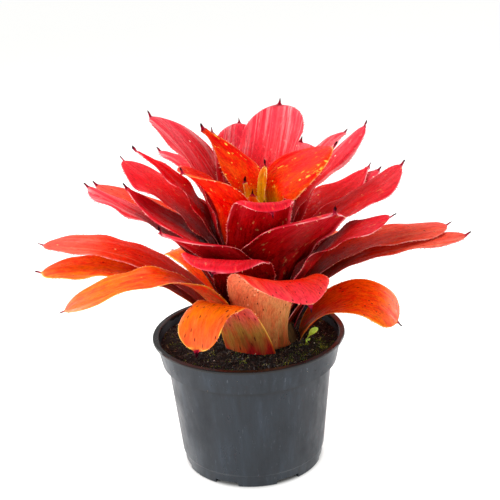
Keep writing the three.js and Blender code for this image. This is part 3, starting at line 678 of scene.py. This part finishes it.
class Tree:
    """A Geometry Nodes tree with named inputs, run once on a mesh and turned into a plain mesh."""

    def __init__(self, name):
        self.group = bpy.data.node_groups.new(name, "GeometryNodeTree")
        for way in ("INPUT", "OUTPUT"):
            self.group.interface.new_socket("Geometry", in_out=way,
                                            socket_type="NodeSocketGeometry")
        self.values = {}

    def number(self, name, value, kind="NodeSocketFloat"):
        socket = self.group.interface.new_socket(name, in_out="INPUT", socket_type=kind)
        self.values[socket.identifier] = value

    def begin(self):
        return self.group.nodes.new("NodeGroupInput").outputs

    def node(self, kind, inputs=(), **settings):
        return add_node(self.group, kind, inputs, settings)

    def named(self, name, data_type):
        made = self.node("GeometryNodeInputNamedAttribute", {"Name": name}, data_type=data_type)
        return made.outputs["Attribute"]

    def end(self, geometry, material):
        """Realises the instances, sets the material, and closes the tree."""
        real = self.node("GeometryNodeRealizeInstances", {"Geometry": geometry})
        dressed = self.node("GeometryNodeSetMaterial",
                            {"Geometry": real.outputs[0], "Material": material})
        way_out = self.group.nodes.new("NodeGroupOutput")
        self.group.links.new(dressed.outputs[0], way_out.inputs[0])

    def run(self, name, mesh):
        """The tree's result on a mesh, as a plain mesh."""
        holder = add_object(name, mesh)
        modifier = holder.modifiers.new(name, "NODES")
        modifier.node_group = self.group
        for identifier, value in self.values.items():
            modifier[identifier] = value
        return applied(holder, name)


# The teeth on the margins

def tooth_points():
    """A point for each tooth along both margins of every leaf, with the way it points."""
    points, aims, sizes = [], [], []
    for leaf in LEAVES:
        draw = np.random.RandomState(leaf["seed"] + 100)
        for side in (-1.0, 1.0):
            count = int(leaf["length"] * (TOOTH["stop"] - TOOTH["start"]) / TOOTH["spacing"])
            shift = draw.uniform(-TOOTH["jitter"], TOOTH["jitter"], count) / count
            t = np.linspace(TOOTH["start"], TOOTH["stop"], count) + shift
            t = np.minimum(t, TOOTH["stop"])
            at = blade_points(leaf, t, np.full(count, side))
            outward = unit(at - blade_points(leaf, t, np.full(count, side * 0.9)), 1e-9)
            forward = unit(blade_points(leaf, t + 0.004, np.full(count, side)) - at, 1e-9)
            points.append(at - outward * TOOTH["sunk"])
            aims.append(unit(outward + TOOTH["lean"] * forward))
            sizes.append(draw.uniform(*TOOTH["sizes"], count))
    return np.concatenate(points), np.concatenate(aims), np.concatenate(sizes)


def make_teeth():
    """The small forward spines on the margins, one thin cone at each point."""
    points, aims, sizes = tooth_points()
    mesh = plain_mesh("margin_line", points, [])
    put_values(mesh, "aim", aims, "FLOAT_VECTOR")
    put_values(mesh, "size", sizes)
    horn = grainy_material("tooth_horn", 90, 2, (0.35, 226, 84, 84), (0.65, 255, 190, 150),
                           Roughness=0.4)
    tree = Tree("margin_teeth")
    tree.number("Tooth length", TOOTH["length"] * MM)
    tree.number("Tooth radius", TOOTH["radius"] * MM)
    given = tree.begin()
    cone = tree.node("GeometryNodeMeshCone", {
        "Vertices": TOOTH["sides"], "Radius Top": 0.0, "Radius Bottom": given["Tooth radius"],
        "Depth": given["Tooth length"]})
    spots = tree.node("GeometryNodeMeshToPoints", {"Mesh": given["Geometry"]})
    aim = tree.node("FunctionNodeAlignRotationToVector",
                    {"Vector": tree.named("aim", "FLOAT_VECTOR")}, axis="Z")
    teeth = tree.node("GeometryNodeInstanceOnPoints", {
        "Points": spots.outputs[0], "Instance": cone.outputs["Mesh"],
        "Rotation": aim.outputs[0], "Scale": tree.named("size", "FLOAT")})
    tree.end(teeth.outputs[0], horn)
    add_piece("margin_teeth", tree.run("margin_teeth", mesh), "leaf")


# The pot

def turned(profile, sides):
    """Points and faces of a closed outline turned round the upright axis. The outline's first and
    last points lie on the axis."""
    angles = np.arange(sides) * 2 * np.pi / sides
    ring = np.array(profile[1:-1])
    body = np.stack((np.outer(ring[:, 0], np.cos(angles)), np.outer(ring[:, 0], np.sin(angles)),
                     np.repeat(ring[:, 1:], sides, 1)), -1).reshape(-1, 3)
    points = np.concatenate(([[0, 0, profile[0][1]]], body, [[0, 0, profile[-1][1]]]))
    faces = []
    for k in range(sides):
        after = (k + 1) % sides
        faces.append((0, 1 + after, 1 + k))
        for i in range(len(ring) - 1):
            low, high = 1 + i * sides, 1 + (i + 1) * sides
            faces.append((low + k, low + after, high + after, high + k))
        high = 1 + (len(ring) - 1) * sides
        faces.append((high + k, high + after, len(points) - 1))
    return points, faces


def pot_profile():
    """Outside from the middle of the base up to the lip, then inside down to the floor."""
    p = POT
    top, step, waist = p["height"], p["ridge_height"], p["band"] - p["shoulder"]
    return [
        (0, 0), (p["foot"] - 1.2, 0), (p["foot"] - 0.4, 0.3), (p["foot"], 1.2),
        (p["ridge"] - 1.4, step - 2), (p["ridge"] - 1.1, step - 1.2),
        (p["ridge"] - 0.2, step - 0.3), (p["ridge"], step + 0.5),
        (waist, BAND_FOOT - 3), (waist + 0.4, BAND_FOOT - 1.4),
        (p["band"] - 1, BAND_FOOT - 0.4), (p["band"] - 0.2, BAND_FOOT),
        (p["band"], BAND_FOOT + 0.9),
        (p["rim"] - 3.2, top - 3.4), (p["rim"] - 1.8, top - 2.7), (p["rim"] - 0.3, top - 2.2),
        (p["rim"], top - 1.6), (p["rim"] - 0.1, top - 0.5), (p["rim"] - 0.7, top),
        (p["rim"] - p["lip"] + 0.8, top), (p["rim"] - p["lip"], top - 0.8),
        (p["band"] - p["wall"], BAND_FOOT + 1), (waist - p["wall"], BAND_FOOT - 1),
        (p["foot"] - p["wall"], p["floor"]), (0, p["floor"]),
    ]


def notch_cutter(index):
    """A block at the pot's foot, for one of the drain notches."""
    x, y, z = NOTCH["depth"], NOTCH["width"] / 2, NOTCH["height"]
    corners = [(i * x, j * y, k * z) for i in (-1, 1) for j in (-1, 1) for k in (-1, 1)]
    faces = [(0, 1, 3, 2), (4, 6, 7, 5), (0, 4, 5, 1), (2, 3, 7, 6), (0, 2, 6, 4), (1, 5, 7, 3)]
    angle = math.radians(NOTCH["first"] + index * 360 / NOTCH["count"])
    move = Matrix.Rotation(angle, 4, "Z") @ Matrix.Translation((POT["foot"], 0, 0))
    points = [move @ Vector(corner) for corner in corners]
    return add_object(f"notch_{index}", plain_mesh(f"notch_{index}", points, faces))


def make_pot():
    body = add_object("pot_body", plain_mesh("pot_body", *turned(pot_profile(), POT_SIDES)))
    cutters = [notch_cutter(i) for i in range(NOTCH["count"])]
    for cutter in cutters:
        cut = body.modifiers.new(cutter.name, "BOOLEAN")
        cut.object = cutter
        cut.operation = "DIFFERENCE"
    mesh = applied(body, "nursery_pot")
    for cutter in cutters:
        bpy.data.objects.remove(cutter)
    mesh.shade_smooth()
    mesh.set_sharp_from_angle(angle=math.radians(35))
    mesh.materials.clear()
    mesh.materials.append(pot_material())
    add_piece("nursery_pot", mesh, "pot_plastic", "pot")


def pot_material():
    """Grey-black moulded plastic, with faint upright flow marks, scuffs and dark blots. Painted
    shade makes the top of the pot, its lip and the inside just under it, near-black, and a painted
    shadow darkens the crease under the band."""
    r = Recipe("pot_plastic", Specular_IOR_Level=0.42)
    place = r.place()
    height = r.node("ShaderNodeSeparateXYZ", {"Vector": place}).outputs["Z"]
    # The top of the pot, lip and inside just under it: painted near-black as shade, and glossier
    lip = r.band(height, 0.1135, 0.1155)
    flow = r.noise(r.stretch(place, 150, 150, 9), detail=4, roughness=0.65)
    cloud = r.noise(r.stretch(place, 30, 30, 16), detail=5, roughness=0.65)
    scuff = r.noise(r.stretch(place, 420, 420, 60), detail=3, roughness=0.7, distortion=1.2)
    blot = r.noise(r.stretch(place, 120, 120, 90), detail=4, roughness=0.7)
    # Distance from the crease under the band, which gets a painted shadow
    crease = r.math("ABSOLUTE", r.math("SUBTRACT", height, (BAND_FOOT - 2) * MM))
    colour = r.ramp(flow, (0.3, 21, 28, 37), (0.55, 29, 38, 48), (0.75, 44, 54, 67))
    for share, shade in ((r.band(cloud, 0.42, 0.66, 0.6), (23, 27, 34)),
                         (r.band(scuff, 0.64, 0.74, 0.4), (112, 120, 130)),
                         (r.band(blot, 0.62, 0.7, 0.6), (26, 28, 33)),
                         # painted shade: the top of the pot near-black
                         (lip, (14, 15, 17)),
                         # painted shadow in the crease under the band
                         (r.band(crease, 0.0042, 0.0006, 0.55), (20, 22, 26))):
        colour = r.mix(share, colour, tone(*shade))
    r.give("Base Color", colour)
    r.give("Roughness", r.math("SUBTRACT", r.band(cloud, 0.0, 1.0, 0.8), r.times(lip, 0.15)))
    r.bump(r.plus(r.times(flow, 0.6), r.times(scuff, 0.4)), 0.0003, 0.4)
    return r.material


# The soil, and what lies and grows on it

def soil_height(x, y):
    at = Vector((x / 9, y / 9, 3.7))
    return SOIL_TOP + 1.1 * noise.fractal(at, 1.0, 2.2, 4) + 0.5 * noise.noise(at * 5)


def make_soil():
    """A filled pot of soil with a lumpy top, a little clear of the plastic."""
    p = POT
    wall_radii = (p["band"] - p["wall"], p["rim"] - p["lip"])
    edge = np.interp(SOIL_TOP, (BAND_FOOT, p["height"]), wall_radii) - 0.2
    rings = edge * np.linspace(1, 0.02, SOIL_RINGS)
    wall = [(0, p["floor"] + 0.4), (p["foot"] - p["wall"] - 0.6, p["floor"] + 0.4),
            (p["band"] - p["shoulder"] - p["wall"] - 0.4, BAND_FOOT - 1),
            (p["band"] - p["wall"] - 0.4, BAND_FOOT + 1)]
    profile = wall + [(k, SOIL_TOP) for k in rings] + [(0, SOIL_TOP)]
    points, faces = turned(profile, SOIL_SIDES)
    for point in points:
        if point[2] > SOIL_TOP - 1:
            point[2] = soil_height(point[0], point[1])
    mesh = plain_mesh("potting_soil", points, faces, soil_material())
    add_piece("potting_soil", mesh, "soil", "soil")
    return mesh


def soil_material():
    r = Recipe("soil_bed", Specular_IOR_Level=0.25)
    place = r.place()
    grain = r.noise(place, scale=420, detail=5, roughness=0.7)
    lump = r.noise(place, scale=70, detail=3)
    colour = r.ramp(grain, (0.3, 3, 3, 3), (0.55, 10, 9, 8), (0.74, 44, 38, 26))
    r.give("Base Color", r.mix(r.band(lump, 0.45, 0.7, 0.5), colour, tone(12, 10, 9)))
    r.give("Roughness", r.band(lump, -1.5, 1.0, 0.95))
    r.bump(grain, 0.0012, 0.9)
    return r.material


def mark_zones(mesh):
    """Marks the bare top of the soil and its mossy patches."""
    co = np.zeros(len(mesh.vertices) * 3, np.float32)
    mesh.vertices.foreach_get("co", co)
    x, y, z = co.reshape(-1, 3).T / MM
    clump = np.array([noise.noise(Vector((a / 7, b / 7, 9.1))) for a, b in zip(x, y)])
    top = (z > SOIL_TOP - 4) & (np.hypot(x, y) < 77)
    moss = sum(thick * np.exp(-(((x - mx) / wide) ** 2 + ((y - my) / deep) ** 2))
               for mx, my, wide, deep, thick in MOSS_PATCHES)
    put_values(mesh, "bare", top)
    put_values(mesh, "moss", np.clip(moss + clump * 1.4 - 0.3, 0, 1) * top)


def lump_object(name, seed, stretch):
    """A small angular lump, about 2 across before it is sized."""
    bm = bmesh.new()
    bmesh.ops.create_icosphere(bm, subdivisions=1, radius=1.0)
    for vertex in bm.verts:
        vertex.co *= 0.75 + 0.5 * noise.noise(vertex.co * 2.3 + Vector((seed, 0, 0)))
        vertex.co = Vector(a * b for a, b in zip(vertex.co, stretch))
    mesh = bpy.data.meshes.new(name)
    bm.to_mesh(mesh)
    bm.free()
    return add_object(name, mesh)


def scatter(name, kind, ground, material):
    """Copies of one small lump strewn over its zone of the ground, each turned and sized at
    random."""
    lump = lump_object(f"{name}_lump", kind["lump"], kind["stretch"])
    tree = Tree(name)
    tree.number("Density", kind["density"])
    tree.number("Smallest", kind["sizes"][0])
    tree.number("Largest", kind["sizes"][1])
    tree.number("Seed", kind["seed"], "NodeSocketInt")
    given = tree.begin()
    zone = tree.named(kind.get("zone", "bare"), "FLOAT")
    density = tree.node("ShaderNodeMath", {0: given["Density"], 1: zone}, operation="MULTIPLY")
    spots = tree.node("GeometryNodeDistributePointsOnFaces", {
        "Mesh": given["Geometry"], "Density": density.outputs[0], "Seed": given["Seed"]})
    source = tree.node("GeometryNodeObjectInfo", {"Object": lump})
    tumble = kind["tumble"]
    spin = tree.node("FunctionNodeRandomValue", {
        0: (-tumble, -tumble, 0.0), 1: (tumble, tumble, 2 * math.pi), "Seed": given["Seed"]},
        data_type="FLOAT_VECTOR")
    size = tree.node("FunctionNodeRandomValue", {
        2: given["Smallest"], 3: given["Largest"], "Seed": given["Seed"]}, data_type="FLOAT")
    copies = tree.node("GeometryNodeInstanceOnPoints", {
        "Points": spots.outputs["Points"], "Instance": source.outputs["Geometry"],
        "Rotation": spin.outputs[0], "Scale": size.outputs[1]})
    tree.end(copies.outputs[0], material)
    made = tree.run(name, ground)
    bpy.data.objects.remove(lump)
    return made


def bark_material():
    r = Recipe("bark_crumbs", Specular_IOR_Level=0.35)
    grain = r.noise(r.place(), scale=260, detail=4, roughness=0.7)
    r.give("Base Color", r.ramp(grain, (0.3, 4, 4, 4), (0.5, 16, 14, 12), (0.64, 54, 44, 30),
                                (0.78, 150, 128, 92)))
    r.give("Roughness", r.band(grain, 0.0, 1.0, 0.9))
    return r.material


def make_litter(ground):
    """Bark crumbs, fibres, perlite and moss on the soil."""
    mark_zones(ground)
    bark = bark_material()
    finishes = {
        "bark_crumbs_round": bark,
        "bark_crumbs_long": bark,
        "perlite_grains": grainy_material("perlite", 900, 2, (0.3, 190, 180, 165),
                                          (0.7, 244, 240, 230), Roughness=0.8),
        "root_fibres": grainy_material("root_fibres", 120, 2, (0.35, 110, 88, 50),
                                       (0.65, 226, 206, 160), Roughness=0.7),
        "moss_cushion": grainy_material("moss_cushion", 110, 3, (0.35, 30, 60, 6),
                                        (0.5, 104, 130, 10), (0.7, 210, 210, 60), Roughness=0.75),
    }
    for name, kind in LITTER.items():
        mesh = scatter(name, kind, ground, finishes[name])
        add_piece(name, mesh, kind.get("slot", "soil"))


# The seedling

def make_seedling():
    """A weed seedling: a thin stalk with two spoon-shaped seed leaves."""
    skin = grainy_material("seedling_green", 300, 3, (0.3, 160, 222, 40), (0.7, 206, 244, 110),
                           Roughness=0.42, Subsurface_Weight=0.15, Subsurface_Scale=0.002)
    base = np.array((SEEDLING["x"], SEEDLING["y"], SOIL_TOP - SEEDLING["sunk"]))
    top = base + (0, 0, SEEDLING["stalk"])
    points, faces = [], []
    for *angles, length, half in SEEDLING["leaves"]:
        way = [math.radians(angle) for angle in angles]
        add_seed_leaf(points, faces, top, way, length, half)
    add_stalk(points, faces, base, top + (0, 0, 0.4), SEEDLING["stalk_radius"])
    mesh = plain_mesh("weed_seedling", points, faces, skin)
    add_piece("weed_seedling", mesh, "seedling", "seedling")


def add_seed_leaf(points, faces, foot, way, length, half):
    """A spoon-shaped blade as a closed, slightly cupped shell. way is its azimuth, its tilt and how
    far it is twisted about its own length."""
    azimuth, tilt, twist = way
    rows, columns = 16, 9
    out = np.array((math.cos(azimuth), math.sin(azimuth), 0))
    side = np.array((-math.sin(azimuth), math.cos(azimuth), 0))
    up = np.array((0, 0, 1))
    first = len(points)
    for face in (1, -1):
        for i in range(rows):
            t = i / (rows - 1)
            spoon = max(0, math.sin(math.pi * max(0, t - 0.25) / 0.75)) ** 0.6
            width = half * (0.16 + 0.84 * spoon) * (t < 1)
            bend = tilt - 0.25 * t
            along = out * math.cos(bend) + up * math.sin(bend)
            over = up * math.cos(bend) - out * math.sin(bend)
            across = side * math.cos(twist * t) + over * math.sin(twist * t)
            rise = over * math.cos(twist * t) - side * math.sin(twist * t)
            thick = 0.3 * (0.3 + 0.7 * (t < 1))
            for j in range(columns):
                u = 2 * j / (columns - 1) - 1
                lift = 0.25 * width * u * u + face * thick * math.sqrt(max(0, 1 - u * u))
                points.append(foot + along * length * t + across * width * u + rise * lift)
    size = rows * columns
    for i in range(rows - 1):
        for j in range(columns - 1):
            a = first + i * columns + j
            faces.append((a, a + columns, a + columns + 1, a + 1))
            b = a + size
            faces.append((b, b + 1, b + columns + 1, b + columns))
    edges = [(i, j, columns, flip) for i in range(rows - 1)
             for j, flip in ((0, True), (columns - 1, False))]
    edges += [(i, j, 1, flip) for i, flip in ((0, False), (rows - 1, True))
              for j in range(columns - 1)]
    for i, j, step, flip in edges:
        a = first + i * columns + j
        ring = (a, a + step, a + step + size, a + size)
        faces.append(ring[::-1] if flip else ring)


def add_stalk(points, faces, low, high, radius):
    sides = 10
    first = len(points)
    for end in (low, high):
        for k in range(sides):
            a = 2 * math.pi * k / sides
            points.append(end + (radius * math.cos(a), radius * math.sin(a), 0))
    for k in range(sides):
        after = (k + 1) % sides
        faces.append((first + k, first + after, first + sides + after, first + sides + k))
    faces.append(tuple(first + k for k in reversed(range(sides))))
    faces.append(tuple(first + sides + k for k in range(sides)))


def dress_stem():
    """The hidden stem keeps its solid, with a dry, papery brown skin."""
    r = Recipe("stem_bark", Roughness=0.8, Specular_IOR_Level=0.2)
    grain = r.noise(r.stretch(r.place(), 160, 160, 50), detail=4, roughness=0.65)
    r.give("Base Color", r.ramp(grain, (0.3, 30, 20, 12), (0.6, 84, 64, 30), (0.8, 130, 110, 60)))
    r.bump(grain, 0.0008, 0.6)
    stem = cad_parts["stem"]
    stem.data.materials.clear()
    stem.data.materials.append(r.material)


# Camera, floor and light

def make_camera():
    """The camera stands where the photograph was taken from, turned a little about its own axis."""
    camera = add_object("camera", bpy.data.cameras.new("camera"))
    camera.data.lens = CAMERA["lens"]
    down = math.radians(CAMERA["down"])
    forward = Vector((0, math.cos(down), -math.sin(down)))
    camera.matrix_world = (
        Matrix.Translation(Vector(CAMERA["target"]) - forward * CAMERA["distance"])
        @ Matrix.Rotation(math.pi / 2 - down, 4, "X")
        @ Matrix.Rotation(math.radians(CAMERA["roll"]), 4, "Z")
    )
    bpy.context.scene.camera = camera


def make_studio():
    """A white floor in soft light from above and behind, as in a light tent. The floor glows
    evenly, but not under the pot, where the dark is a painted contact shadow.
    """
    corners = [(x * FLOOR["half"], y * FLOOR["half"], -FLOOR["depth"])
               for x, y in ((-1, -1), (1, -1), (1, 1), (-1, 1))]
    floor = add_object("studio_floor", plain_mesh("studio_floor", corners, [(0, 1, 2, 3)]))
    paper = Recipe("white_paper", Base_Color=(0.45, 0.45, 0.445, 1), Roughness=0.9,
                   Specular_IOR_Level=0.05, Emission_Color=(1, 1, 0.985, 1))
    # The glow fades out towards the pot's middle: a painted contact shadow under the pot
    from_middle = paper.node("ShaderNodeVectorMath", {0: paper.place()}, operation="LENGTH")
    paper.give("Emission Strength", paper.band(from_middle.outputs["Value"], FLOOR["start"],
                                               FLOOR["end"], FLOOR["glow"]))
    floor.data.materials.append(paper.material)
    world = bpy.data.worlds.new("studio_world")
    world.use_nodes = True
    sky = world.node_tree.nodes["Background"].inputs
    sky["Color"].default_value = (1, 1, 1, 1)
    sky["Strength"].default_value = SKY
    bpy.context.scene.world = world
    for name, (place, height, size, power) in LAMPS.items():
        lamp = add_object(name, bpy.data.lights.new(name, "AREA"))
        lamp.data.size = size
        lamp.data.energy = power
        lamp.location = place
        aim = Vector((0, 0, height)) - Vector(place)
        lamp.rotation_euler = aim.to_track_quat("-Z", "Y").to_euler()
    bpy.context.scene.view_settings.view_transform = "Standard"


make_camera()
make_studio()
make_pot()
ground = make_soil()
make_litter(ground)
make_seedling()
dress_stem()
make_leaves()
make_teeth()
